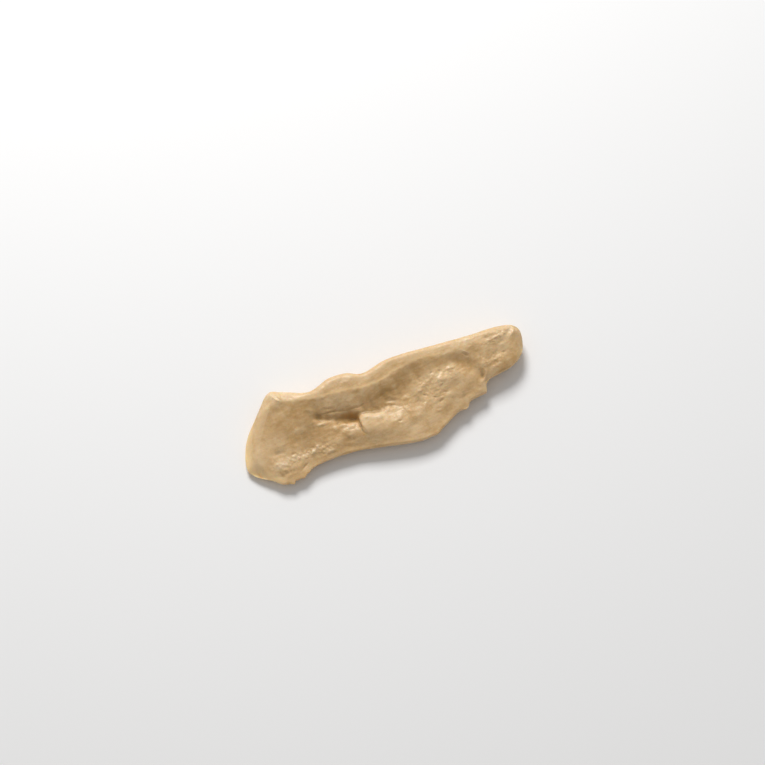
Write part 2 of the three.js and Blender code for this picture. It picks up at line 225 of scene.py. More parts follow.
# Rounded swellings, and hollows where the height is negative: x, y, half sizes, turn in degrees, height
swellings = {
    "underFlap": [
        (-12.8, -4.8, 2.2, 1.9, -10, 0.6),
        (-12.8, -3.5, 0.7, 0.5, -20, 0.25),
        (-11.7, -3.1, 0.6, 0.5, -40, 0.2),
        (-14.2, -2.2, 0.7, 0.4, -15, 0.2),
        (-13.6, -1.3, 2.6, 0.5, -18, -0.25),
        (-13.4, -1.6, 0.35, 0.4, 20, -0.2),
        (-15.8, -1.0, 0.4, 0.35, 20, -0.15),
        (-13.6, -5.7, 0.8, 0.5, 10, 0.2),
        (-15.2, -4.0, 0.7, 0.5, -20, 0.2),
        (-11.4, -5.4, 0.5, 0.7, 20, 0.15),
        (-16.8, -2.0, 1.4, 0.6, -25, 0.25),
        (-15.0, -1.7, 0.6, 0.4, -20, 0.2),
        (-17.6, -3.8, 1.0, 0.6, 10, -0.15),
        (-14.6, -6.8, 0.9, 0.4, -20, -0.15),
        (-11.0, -1.3, 1.1, 0.7, -40, -0.5),
        (-14.8, -8.6, 2.2, 0.5, -22, -0.15),
    ],
    "flap": [
        (-7.2, -3.2, 1.5, 0.7, -35, 0.3),
        (-4.0, -5.0, 1.2, 0.7, -10, 0.3),
        (-3.6, -2.9, 0.4, 0.8, 20, -0.2),
        (-1.1, -3.6, 0.6, 0.5, 20, 0.2),
        (0.3, -2.4, 0.9, 0.35, -25, 0.3),
        (2.0, -1.5, 1.6, 0.3, -38, 0.12),
        (0.0, -4.4, 0.7, 0.5, 0, 0.2),
        (2.4, -3.6, 0.5, 0.8, 25, 0.15),
        (-7.0, -7.6, 1.4, 1.0, 0, 0.12),
        (-3.0, -6.6, 0.6, 0.5, 20, 0.15),
        (-4.4, -7.0, 0.4, 0.5, 0, 0.12),
    ],
    "mound": [
        (0.2, -8.6, 0.35, 0.22, -25, -0.25),
        (-0.5, -8.2, 0.7, 0.3, -10, 0.15),
        (0.5, -9.2, 0.7, 0.3, -15, 0.15),
        (1.1, -7.6, 0.6, 0.3, 35, 0.14),
        (3.9, -6.4, 0.9, 0.45, -25, 0.1),
        (5.0, -3.3, 0.6, 0.5, 0, 0.2),
        (4.6, -7.6, 0.9, 0.35, -20, 0.14),
        (6.0, -9.6, 0.9, 0.35, -15, 0.12),
        (8.7, -7.9, 0.8, 0.3, 55, 0.15),
        (7.6, -6.0, 1.0, 1.4, 0, -0.15),
        (-4.0, -9.4, 1.8, 0.8, -10, 0.1),
        (3.4, -11.2, 0.7, 0.5, 0, -0.1),
        (11.3, -11.4, 0.4, 0.3, 0, -0.12),
    ],
    "rightMound": [
        (10.6, -2.7, 1.2, 0.5, 20, 0.22),
        (9.7, -3.6, 0.6, 0.4, 10, 0.15),
        (13.4, -2.0, 0.9, 0.35, 20, 0.15),
        (15.8, -0.7, 1.0, 0.35, 15, 0.15),
        (17.0, -0.8, 0.5, 0.25, -20, -0.12),
        (14.6, -0.4, 0.5, 0.25, -15, -0.08),
        (16.4, -3.4, 1.4, 0.9, -20, 0.25),
        (20.1, -1.6, 1.1, 0.35, -3, 0.2),
        (18.4, -4.2, 1.0, 0.6, 0, 0.15),
        (21.6, -4.6, 1.8, 1.1, 0, 0.2),
        (13.5, -5.7, 0.5, 0.2, -10, -0.1),
        (17.0, -5.5, 0.8, 0.2, -15, -0.09),
        (13.4, -8.7, 0.7, 0.3, 15, -0.15),
        (19.4, -6.6, 0.8, 1.4, -28, -0.12),
        (14.3, -8.0, 0.5, 0.3, 0, 0.2),
        (16.8, -8.3, 0.9, 0.5, 0, 0.2),
        (12.0, -8.2, 0.7, 0.4, 0, 0.12),
        (24.2, -7.2, 1.8, 1.4, 0, 0.2),
        (20.5, -10.2, 2.0, 0.6, 0, -0.12),
        (25.0, -10.7, 0.9, 0.4, 0, 0.15),
        (11.8, -10.3, 0.4, 0.25, 0, -0.12),
    ],
    "lobe": [
        (26.9, -8.8, 0.8, 0.4, 25, 0.1),
        (29.6, -4.6, 1.0, 0.7, 0, 0.15),
        (32.6, -5.0, 1.0, 0.5, 0, 0.25),
        (32.2, -6.9, 0.8, 0.4, 0, 0.2),
        (35.2, -5.8, 0.6, 0.4, 0, 0.15),
        (36.4, -4.2, 0.5, 0.35, -20, -0.2),
        (34.4, -3.4, 0.6, 0.4, 0, -0.15),
        (36.8, -2.4, 0.8, 0.5, 0, 0.12),
        (37.4, -1.0, 0.8, 0.4, 0, -0.12),
        (40.4, 0.4, 0.9, 0.6, 20, -0.35),
        (39.1, 0.9, 0.4, 0.5, 0, 0.2),
        (42.0, 0.4, 0.4, 1.3, -25, 0.25),
        (36.2, 0.4, 1.6, 0.3, 0, 0.15),
        (33.9, 1.6, 0.9, 0.4, 0, -0.2),
        (29.0, 2.6, 0.7, 0.6, 0, 0.15),
        (30.4, 4.6, 0.3, 0.9, -20, -0.3),
        (32.8, 4.4, 0.3, 0.7, -20, -0.2),
    ],
    "tail": [
        (-32.2, 7.8, 0.9, 0.8, 0, 0.12),
        (-27.3, 7.8, 0.7, 0.7, 0, 0.12),
        (-26.6, 2.2, 1.4, 0.5, -25, 0.14),
        (-25.7, 2.6, 0.5, 0.7, 0, 0.08),
        (-29.2, -1.2, 0.5, 0.9, 30, 0.12),
        (-28.4, 1.4, 1.4, 0.4, 40, 0.12),
        (-21.2, 5.6, 0.8, 0.4, -35, 0.15),
        (-20.0, 3.0, 1.1, 0.6, 0, -0.25),
        (-19.9, 0.7, 0.9, 0.3, -15, 0.3),
        (-34.4, 2.6, 3.6, 2.2, 20, 0.25),
        (-34.2, -0.6, 1.6, 0.7, -10, -0.25),
        (-36.2, -3.9, 1.5, 0.8, -8, 0.25),
        (-34.4, -4.7, 1.0, 0.5, -15, 0.18),
        (-35.9, -5.6, 0.9, 0.6, 0, 0.2),
        (-34.9, -6.3, 0.5, 0.3, 0, 0.12),
        (-32.3, -3.8, 0.9, 0.6, -10, 0.15),
        (-30.0, -4.3, 0.9, 0.6, -15, 0.15),
        (-27.4, -5.0, 0.8, 0.5, 0, 0.15),
        (-25.8, -5.1, 0.6, 0.4, 25, 0.5),
        (-24.0, -4.4, 0.45, 0.45, 20, 0.35),
        (-22.8, -5.1, 0.45, 0.35, 10, 0.25),
        (-24.0, -5.8, 0.9, 0.4, -8, 0.15),
        (-21.2, -6.8, 0.9, 0.35, -8, 0.25),
        (-24.6, -2.6, 2.4, 1.8, 60, -0.25),
        (-29.6, -7.4, 0.8, 0.25, 20, -0.2),
        (-37.2, -6.6, 0.9, 0.35, -30, -0.08),
        (-33.6, -7.0, 1.2, 0.3, -5, -0.12),
        (-39.6, 3.4, 0.8, 1.6, -35, -0.2),
        (-31.0, 13.6, 0.9, 1.5, -25, -0.35),
        (-33.4, 13.0, 0.4, 1.8, -35, 0.45),
        (-24.4, 13.2, 1.4, 0.9, -25, 0.2),
    ],
}

# Narrow grooves, and thin folds where the depth is negative: depth, half width, then the places x, y that
# they run through
creases = [
    (0.35, 0.35, [(-21.3, 4.3), (-19.0, 3.3), (-16.5, 2.7), (-14.0, 2.0), (-12.0, 1.3), (-10.0, 0.8),
                  (-8.0, 0.4), (-6.0, 0.7)]),
    (-0.30, 0.35, [(-20.6, 1.2), (-19.0, 0.9), (-17.0, 0.2)]),
    (0.20, 0.30, [(-18.5, 4.4), (-16.5, 3.6), (-14.5, 3.0)]),
    (0.22, 0.80, [(-6.0, 0.6), (-2.0, 0.2), (0.6, 0.7), (3.0, 0.1), (6.4, 0.8)]),
    (0.35, 0.25, [(-10.0, -1.4), (-10.1, -3.2), (-10.2, -5.0), (-10.4, -6.6), (-9.9, -7.9)]),
    (0.25, 0.25, [(-11.6, -6.4), (-10.6, -7.1)]),
    (0.15, 0.22, [(24.6, 1.1), (25.6, 0.3), (26.3, -0.4), (27.0, -1.1)]),
    (-0.22, 0.28, [(25.2, 1.5), (26.3, 0.6), (27.3, -0.5)]),
    (0.12, 0.30, [(8.6, -4.2), (9.8, -4.9), (10.9, -6.0), (11.2, -7.2)]),
    (0.24, 0.20, [(11.4, -6.5), (12.3, -7.0), (13.6, -7.6)]),
    (0.20, 0.20, [(14.2, -6.9), (15.4, -6.8), (16.9, -7.4)]),
    (0.12, 0.25, [(8.9, -7.6), (10.0, -8.8), (10.2, -10.4)]),
    (-0.25, 0.40, [(29.6, -5.8), (29.0, -7.4), (27.8, -8.4), (26.8, -9.4)]),
    (-0.16, 0.35, [(39.2, -1.0), (41.2, -0.5), (42.4, 1.0)]),
    (-0.45, 0.50, [(-29.2, 15.6), (-28.9, 14.2), (-28.4, 12.6), (-27.4, 11.4)]),
    (-0.30, 0.35, [(-27.8, 14.4), (-27.5, 13.0), (-26.8, 11.8)]),
    (0.12, 0.30, [(-26.4, 15.0), (-26.2, 13.2), (-25.6, 11.8)]),
]


def bell(distance, width):
    return np.exp(-(distance / width) ** 2 / 2)


def smooth(t):
    t = np.clip(t, 0, 1)
    return t * t * (3 - 2 * t)


def oval(x, y, atX, atY, sizeX, sizeY, turn):
    # 1 in the middle of a turned oval, falling off softly all round
    c, s = math.cos(math.radians(turn)), math.sin(math.radians(turn))
    dx, dy = x - atX, y - atY
    return np.exp(-(((c * dx + s * dy) / sizeX) ** 2 + ((c * dy - s * dx) / sizeY) ** 2) / 2)


def curveThrough(rows, closed, stepsEach):
    # a Catmull-Rom curve through rows of numbers, with equal steps between each two
    rows = np.array(rows, float)
    count = len(rows)
    spans = count if closed else count - 1
    t = np.arange(stepsEach)[:, None] / stepsEach
    pieces = []
    for i in range(spans):
        if closed:
            before, here, there, after = (rows[(i + k) % count] for k in (-1, 0, 1, 2))
        else:
            here, there = rows[i], rows[i + 1]
            before = rows[i - 1] if i else 2 * here - there
            after = rows[i + 2] if i + 2 < count else 2 * there - here
        goHere, goThere = (there - before) / 2, (after - here) / 2
        c2 = 3 * (there - here) - 2 * goHere - goThere
        c3 = 2 * (here - there) + goHere + goThere
        pieces.append(here + goHere * t + c2 * t ** 2 + c3 * t ** 3)
    if not closed:
        pieces.append(rows[-1:])
    return np.concatenate(pieces)


def nearLine(line, x, y):
    # distance from each spot to a line, and the line's other numbers at its nearest point
    best = np.full(x.shape, np.inf)
    others = [np.zeros(x.shape) for k in range(2, line.shape[1])]
    for a, b in zip(line[:-1], line[1:]):
        dx, dy = b[0] - a[0], b[1] - a[1]
        t = np.clip(((x - a[0]) * dx + (y - a[1]) * dy) / (dx * dx + dy * dy), 0, 1)
        distance = np.hypot(x - (a[0] + t * dx), y - (a[1] + t * dy))
        nearer = distance < best
        best = np.where(nearer, distance, best)
        for k in range(2, line.shape[1]):
            others[k - 2] = np.where(nearer, a[k] + t * (b[k] - a[k]), others[k - 2])
    return (best, *others)


def alongX(rows, x):
    # a line's other numbers at places along X
    fine = curveThrough(rows, False, density["lineSteps"])
    return [np.interp(x, fine[:, 0], fine[:, k]) for k in range(1, fine.shape[1])]


# the front edge as a line along X, with the height that the top has there
frontLine = [(x, y, height + outline["lip"]) for x, y, height, reach, fullness
             in (outline["lobe"][1:] + outline["front"] + outline["tail"][:2])[::-1]]


def unevenness(x, y):
    # slow unevenness of cooked meat, the same each time
    slow = np.sin(0.31 * x + 0.52 * y + 0.8) * np.sin(0.23 * y - 0.17 * x + 2.1)
    quick = np.sin(0.83 * x - 0.47 * y + 1.7 * np.sin(0.29 * y)) * np.sin(0.71 * y + 0.26 * x + 0.6)
    return 0.12 * slow + 0.08 * quick


def wander(x):
    # how a torn edge strays from its line, from -1 to 1
    return 0.6 * np.sin(1.3 * x + 2 * np.sin(0.37 * x)) + 0.4 * np.sin(2.9 * x + 1.1)


def onFlap(x, y):
    # 1 on the flap near its corner, falling to 0 past its two free edges and away from the corner
    leftX, leftY = np.array(flap["leftEdge"][::-1]).T
    browX, browY = np.array(flap["brow"]).T
    leftWidth = flap["leftWidth"] + flap["leftFade"] * np.clip(flap["fadeFrom"] - y, 0, None)
    pastLeft = smooth((x - np.interp(y, leftY, leftX)) / leftWidth + 0.5)
    pastBrow = smooth((np.interp(x, browX, browY) - y) / flap["browWidth"] + 0.5)
    cornerX, cornerY = flap["brow"][0]
    far = ((x - cornerX) / flap["reach"][0]) ** 2 + ((y - cornerY) / flap["reach"][1]) ** 2
    return pastLeft * pastBrow * np.exp(-far)


def turned(past, softness):
    # 0 before a line and the distance past it after, with a soft turn between
    return (past + np.sqrt(past ** 2 + softness ** 2)) / 2


def crestAlong(x):
    # y and height of the crest, and how steep the rim is behind it
    crestY, crestZ, behind = alongX(sections["crest"], x)
    return crestY + sections["wander"]["crest"] * wander(x), crestZ, behind


def topHeight(x, y):
    # height of the top before its edge is rounded down
    crestY, crestZ, behind = crestAlong(x)
    footY, footZ = alongX(sections["foot"], x)
    footY = footY + sections["wander"]["foot"] * wander(x + sections["wander"]["footShift"])
    moundY, moundZ, moundSoftness = alongX(sections["mound"], x)
    frontY, frontZ = alongX(frontLine, x)
    soft = sections["softness"]
    toFoot = (footZ - crestZ) / (crestY - footY)
    toMound = (moundZ - footZ) / (footY - moundY)
    toFront = (frontZ - moundZ) / np.maximum(moundY - frontY, 0.5)
    z = crestZ + behind * (crestY - y) + (toFoot - behind) * turned(crestY - y, soft["crest"])
    z += (toMound - toFoot) * turned(footY - y, soft["foot"])
    z += (toFront - toMound) * turned(moundY - y, moundSoftness)
    z += unevenness(x, y)

    for groove in grooves.values():
        line = curveThrough(groove["line"], False, density["lineSteps"])
        away, share, width = nearLine(line, x, y)
        z -= groove["depth"] * share * bell(away, width)

    z += flap["rise"] * onFlap(x, y)

    for group in swellings.values():
        for *place, height in group:
            z += height * oval(x, y, *place)

    for depth, width, line in creases:
        # each fades out towards both its ends
        shares = [1 - 8 * abs(k / (len(line) - 1) - 0.5) ** 3 for k in range(len(line))]
        rows = [(*place, share) for place, share in zip(line, shares)]
        away, share = nearLine(curveThrough(rows, False, density["creaseSteps"]), x, y)
        z -= depth * np.clip(share, 0, 1) * np.exp(-away / width)
    return z


def outlineRibs():
    # ribs run from the edge to the middle line: equal numbers along back and front, a fan round each end
    stretches = [outline[name] for name in ("back", "lobe", "front", "tail")]
    rows = [row for stretch in stretches for row in stretch]
    fine = density["outlineSteps"]
    curve = curveThrough(rows, True, fine)
    curve = np.concatenate([curve, curve[:1]])
    starts = [0, len(outline["back"]) - 1, len(outline["back"]) + len(outline["lobe"]),
              len(rows) - len(outline["tail"]) - 1, len(rows)]
    counts = [density["ribsAlong"], density["ribsRoundEnd"]] * 2
    parts = []
    for stretch, count in enumerate(counts):
        piece = curve[starts[stretch] * fine: starts[stretch + 1] * fine + 1]
        run = np.concatenate([[0], np.cumsum(np.hypot(*np.diff(piece[:, :2], axis=0).T))])
        wanted = run[-1] * np.arange(count) / count
        spots = np.stack([np.interp(wanted, run, piece[:, k]) for k in range(5)], axis=1)
        if stretch == 2:   # the frills of the front edge
            ahead = np.gradient(spots[:, :2], axis=0)
            ahead /= np.hypot(*ahead.T)[:, None]
            stands = sum(size * bell(spots[:, 0] - at, width) for at, size, width in outline["frills"])
            spots[:, 0] -= ahead[:, 1] * stands
            spots[:, 1] += ahead[:, 0] * stands
        parts.append(spots)
    edge = np.concatenate(parts)

    along, roundEnd = density["ribsAlong"], density["ribsRoundEnd"]
    total = len(edge)
    k = np.arange(along + 1)
    middle = (edge[k, :2] + edge[(2 * along + roundEnd - k) % total, :2]) / 2
    i = np.arange(total)
    station = np.where(i <= along, i, np.where(i < along + roundEnd, along,
                       np.where(i <= 2 * along + roundEnd, 2 * along + roundEnd - i, 0)))
    # the fans meet the middle line a little in from its ends
    station = np.clip(station, density["fanInset"], along - density["fanInset"])
    return edge, middle, station


def roundUp(share, fullness=2):
    # how high the top has come at a share of the way in: upright at the edge, level at the end
    return (1 - (1 - np.clip(share, 0, 1)) ** fullness) ** (1 / fullness)


def filletMesh():
    edge, middle, station = outlineRibs()
    inner = middle[station]
    reach = np.hypot(*(inner - edge[:, :2]).T)
    loopLine = np.vstack([edge[::2, :2], edge[:1, :2]])

    def ringPlaces(roundingRings, insideRings, rounding):
        # from just inside the edge to just short of the middle line
        places = []
        rounding = np.minimum(rounding, outline["mostRounding"] * reach)
        for k in range(1, roundingRings + insideRings):
            inRounding = rounding * (1 - math.cos(math.pi / 2 * min(1, k / roundingRings)))
            beyond = (reach - rounding) * max(0, k - roundingRings) / insideRings
            share = ((inRounding + beyond) / reach)[:, None]
            places.append(edge[:, :2] + (inner - edge[:, :2]) * share)
        return np.array(places)

    def topAt(xy, ribEdge):
        inFrom = nearLine(loopLine, xy[..., 0], xy[..., 1])[0]
        up = roundUp(inFrom / ribEdge[..., 3], ribEdge[..., 4])
        return ribEdge[..., 2] + (topHeight(xy[..., 0], xy[..., 1]) - ribEdge[..., 2]) * up

    def undersideAt(xy, ribEdge):
        inFrom = nearLine(loopLine, xy[..., 0], xy[..., 1])[0]
        return ribEdge[..., 2] * (1 - roundUp(inFrom / outline["undersideRounding"]))

    points = [np.column_stack([edge[:, :2], edge[:, 2]])]
    faces = []
    total = len(edge)
    used = np.unique(station)
    ribOfStation = np.array([np.argmax(station == s) for s in used])
    start = total
    now = np.arange(total)
    after = (now + 1) % total

    def close(places, heightAt, flip):
        nonlocal start
        loops = [now]
        for ring in places:
            points.append(np.column_stack([ring, heightAt(ring, edge)]))
            loops.append(start + now)
            start += total
        ends = middle[used]
        points.append(np.column_stack([ends, heightAt(ends, edge[ribOfStation])]))
        loops.append(start + np.searchsorted(used, station))
        start += len(used)
        for a, b in zip(loops[:-1], loops[1:]):
            quads = np.stack([a[now], b[now], b[after], a[after]], axis=1)
            for corners in ((0, 1, 2), (0, 2, 3)):
                tri = quads[:, corners]
                whole = (tri[:, 0] != tri[:, 1]) & (tri[:, 1] != tri[:, 2]) & (tri[:, 2] != tri[:, 0])
                faces.append(tri[whole][:, ::-1] if flip else tri[whole])

    top = ringPlaces(density["roundingRings"], density["topRings"], edge[:, 3])
    close(top, topAt, False)
    evenRounding = np.full(total, outline["undersideRounding"])
    under = ringPlaces(density["undersideRoundingRings"], density["undersideRings"], evenRounding)
    close(under, undersideAt, True)
    points = np.concatenate(points)
    lowest, highest = points.min(0), points.max(0)
    points[:, :2] -= (lowest[:2] + highest[:2]) / 2
    return points, np.concatenate(faces)


points, faces = filletMesh()
mesh = bpy.data.meshes.new("duckFillet")
mesh.from_pydata((points * mm).tolist(), [], faces.tolist())
mesh.shade_smooth()
fillet = bpy.data.objects.new("duckFillet", mesh)
bpy.context.scene.collection.objects.link(fillet)
print("fillet form made,", len(faces), "triangles")


# Patches of the surface, each a soft oval: x, y, half sizes, turn in degrees, amount
patches = {
    "coarse": [   # where the meat is lumpy and pitted
        (15.0, -4.5, 8.0, 3.6, -8, 1.0),
        (1.0, -7.5, 7.0, 3.4, -8, 0.5),
        (35.0, -3.0, 7.0, 4.0, 0, 0.9),
        (-28.0, -5.0, 9.0, 1.8, 2, 1.0),
        (-33.0, 3.0, 5.0, 5.0, 0, 0.35),
        (-13.5, -5.0, 3.0, 2.5, 0, 0.6),
        (-9.0, 7.2, 8.0, 1.6, -12, 0.5),
        (20.0, 3.2, 18.0, 1.2, -8, 0.4),
        (-26.0, 12.5, 4.0, 2.0, -30, 0.6),
    ],
    "granular": [   # where it breaks into small rounded grains
        (-35.6, -4.8, 2.6, 1.6, -10, 1.2),
        (-31.0, -4.4, 2.6, 1.2, -8, 1.2),
        (-26.6, -4.8, 2.6, 1.0, 5, 1.2),
        (-22.6, -5.6, 2.4, 1.2, -10, 1.0),
        (-28.4, 1.6, 2.0, 1.4, 20, 0.4),
        (-12.4, -4.0, 2.2, 1.6, -10, 0.8),
        (-2.0, -3.6, 4.0, 1.4, -15, 0.5),
        (4.0, -6.6, 3.0, 2.0, -10, 0.6),
        (12.6, -4.4, 4.4, 3.4, -10, 0.65),
        (19.0, -3.0, 3.6, 1.6, -5, 0.6),
        (32.4, -5.4, 2.8, 1.6, 0, 0.9),
        (37.0, 0.6, 5.0, 1.4, 0, 0.8),
        (29.0, 2.4, 2.6, 1.4, 0, 0.6),
        (-9.0, 8.0, 3.0, 0.8, -12, 0.5),
        (-26.0, 13.4, 3.0, 1.6, -30, 0.5),
    ],
    "paleAndHighlight": [   # pale, bloodless flesh, and painted highlights on lit lumps and streaks
        (-5.2, -4.0, 3.8, 1.4, -25, 1.0),
        (-3.4, -5.0, 1.6, 0.8, -15, 1.0),
        (0.6, -2.3, 1.4, 0.5, -25, 0.8),
        (-1.0, -3.6, 0.6, 0.5, 0, 0.7),
        (1.1, -7.6, 0.7, 0.3, 30, 0.4),
        (4.0, -6.4, 1.2, 0.5, -25, 0.35),
        (10.6, -2.8, 1.4, 0.6, 15, 0.5),
        (16.6, -3.6, 3.2, 1.2, -15, 0.5),
        (20.2, -1.6, 1.3, 0.4, 0, 0.5),
        (24.0, -6.6, 2.0, 1.6, 0, 0.35),
        (-12.8, -4.4, 1.6, 1.8, 0, 0.5),
        (-12.8, -3.6, 0.8, 0.5, 0, 0.4),
        (-35.6, -4.5, 2.2, 1.0, -12, 1.0),
        (-31.0, -4.3, 2.6, 0.9, -10, 0.8),
        (-27.6, -4.9, 1.6, 0.6, 0, 0.8),
        (-24.6, -4.8, 2.0, 0.6, 5, 0.7),
        (-26.4, 2.0, 1.6, 0.7, -10, 0.5),
        (-35.5, 0.5, 3.6, 3.4, 20, 0.35),
        (-25.5, -5.1, 0.9, 0.4, 12, 1.0),
        (-23.4, -4.6, 0.8, 0.4, 15, 0.5),
        (-21.4, -6.8, 1.2, 0.35, -8, 0.6),
        (-19.9, 0.8, 1.0, 0.3, -15, 0.6),
        (41.2, 1.0, 1.2, 1.8, -20, 1.0),
        (40.2, -0.9, 0.8, 0.3, 30, 0.6),
        (36.4, 0.3, 1.6, 0.4, 0, 0.6),
        (28.4, 2.9, 2.4, 1.3, -5, 0.8),
        (27.0, -8.8, 1.0, 0.4, 20, 0.4),
        (32.8, -5.0, 1.4, 0.6, 0, 0.5),
        (32.2, -6.9, 0.9, 0.4, 0, 0.4),
        (29.4, -4.8, 1.2, 0.9, 0, 0.4),
        (-24.6, 13.8, 2.8, 1.6, -30, 1.0),
        (-28.8, 13.8, 0.9, 2.4, 20, 1.0),
        (-21.6, 11.6, 2.0, 0.9, -30, 0.7),
        (37.0, 0.8, 6.0, 1.8, -5, 0.6),
        (34.0, -3.0, 5.0, 2.4, 0, 0.5),
        (15.5, -4.0, 6.0, 2.8, -8, 0.55),
        (17.0, -9.6, 6.0, 2.2, -12, 0.45),
        (-12.5, 3.9, 4.6, 1.4, -15, 0.62),
        (-41.5, -1.0, 2.2, 3.6, 10, 0.75),
        (-29.5, -5.4, 8.0, 1.1, 2, 0.5),
        (-10.5, 8.0, 2.4, 0.7, 0, 0.4),
        (-7.0, 6.2, 1.6, 0.7, -25, 0.4),
        (5.0, -12.2, 9.0, 2.2, 0, 0.5),
    ],
    "brownAndShade": [   # browner flesh, and painted shade darkening the valley and hollows
        (-0.5, 0.4, 3.8, 1.3, 0, 1.0),
        (-6.0, 1.4, 6.0, 1.2, -10, 0.5),
        (5.0, 1.0, 3.4, 1.8, 0, 0.6),
        (12.0, 2.4, 4.4, 1.5, -8, 0.6),
        (21.0, 0.9, 3.2, 1.0, -10, 0.4),
        (-12.2, -0.9, 2.4, 1.0, -30, 0.85),
        (-16.5, 1.4, 4.0, 0.8, -28, 0.5),
        (-24.5, -0.5, 3.4, 3.8, 0, 0.85),
        (-20.2, 3.0, 1.4, 1.0, 0, 0.8),
        (-23.0, 6.6, 4.0, 1.6, -20, 0.7),
        (-28.5, 10.0, 2.4, 1.4, -20, 0.55),
        (-33.0, 9.0, 2.4, 2.0, 0, 0.35),
        (-31.0, -0.8, 3.0, 1.2, 0, 0.4),
        (-39.5, 4.5, 1.2, 2.6, -25, 0.35),
        (-30.0, -6.9, 6.0, 0.7, 0, 0.35),
        (-29.0, 3.5, 8.0, 5.5, -10, 0.48),
        (26.5, -3.6, 1.4, 2.6, 20, 0.5),
        (27.2, -5.8, 0.8, 0.9, 0, 0.35),
        (19.3, -6.8, 0.7, 1.8, -28, 0.4),
        (20.0, -10.6, 3.0, 1.0, 0, 0.35),
        (7.5, -4.5, 1.2, 2.0, 0, 0.4),
        (12.9, -7.3, 0.9, 0.3, -25, 0.5),
        (16.2, -7.2, 0.7, 0.25, -20, 0.5),
        (13.4, -8.7, 0.9, 0.4, 0, 0.3),
        (34.0, -2.4, 3.2, 1.0, 0, 0.2),
        (30.0, 4.6, 0.6, 1.0, -15, 0.5),
        (34.4, 1.6, 1.2, 0.6, 0, 0.35),
        (-17.5, -5.0, 4.0, 4.0, 0, 0.3),
        (-8.0, -9.5, 5.0, 1.0, -15, 0.3),
        (-11.5, 9.6, 7.0, 2.0, -8, 0.28),
        (8.0, 6.8, 10.0, 1.6, -6, 0.14),
        (25.0, 4.6, 8.0, 1.5, -8, 0.2),
        (34.0, 2.8, 6.0, 1.3, -7, 0.4),
        (-36.0, -9.4, 0.35, 0.3, 0, 1.0),
    ],
}


def patchAmount(name, x, y):
    amount = np.zeros(len(x))
    for *place, share in patches[name]:
        amount = np.maximum(amount, share * oval(x, y, *place))
    return amount


def storeMask(ofMesh, name, values):
    ofMesh.attributes.new(name, "FLOAT", "POINT").data.foreach_set("value", values.astype(np.float32))


def places(ofMesh):
    spots = np.empty(len(ofMesh.vertices) * 3)
    ofMesh.vertices.foreach_get("co", spots)
    return spots.reshape(-1, 3)


for name in ("coarse", "granular"):
    storeMask(mesh, name, patchAmount(name, *(places(mesh)[:, :2] / mm).T))

# Fine relief of cooked meat, in metres: size across, and height
grain = {
    "Lump Size": 0.0026,
    "Lump Height": 0.00036,
    "Knot Size": 0.0011,
    "Knot Height": 0.0002,
    "Grain Size": 0.00095,
    "Grain Height": 0.00034,
    "Fibre Width": 0.0007,
    "Fibre Length": 0.006,
    "Fibre Height": 0.00008,
    "Pit Size": 0.0016,
    "Pit Depth": 0.0001,
    "Smooth Share": 0.35,
    "Bare Height": 0.0006,
    "Seed": 7.0,
}

# Shape of the pits and grains, as shares of their size
grainShape = {
    "pitNarrowness": 2.2,
    "bendScale": 0.7,
    "grainSoftness": 0.3,
    "grainTop": 0.45,
}


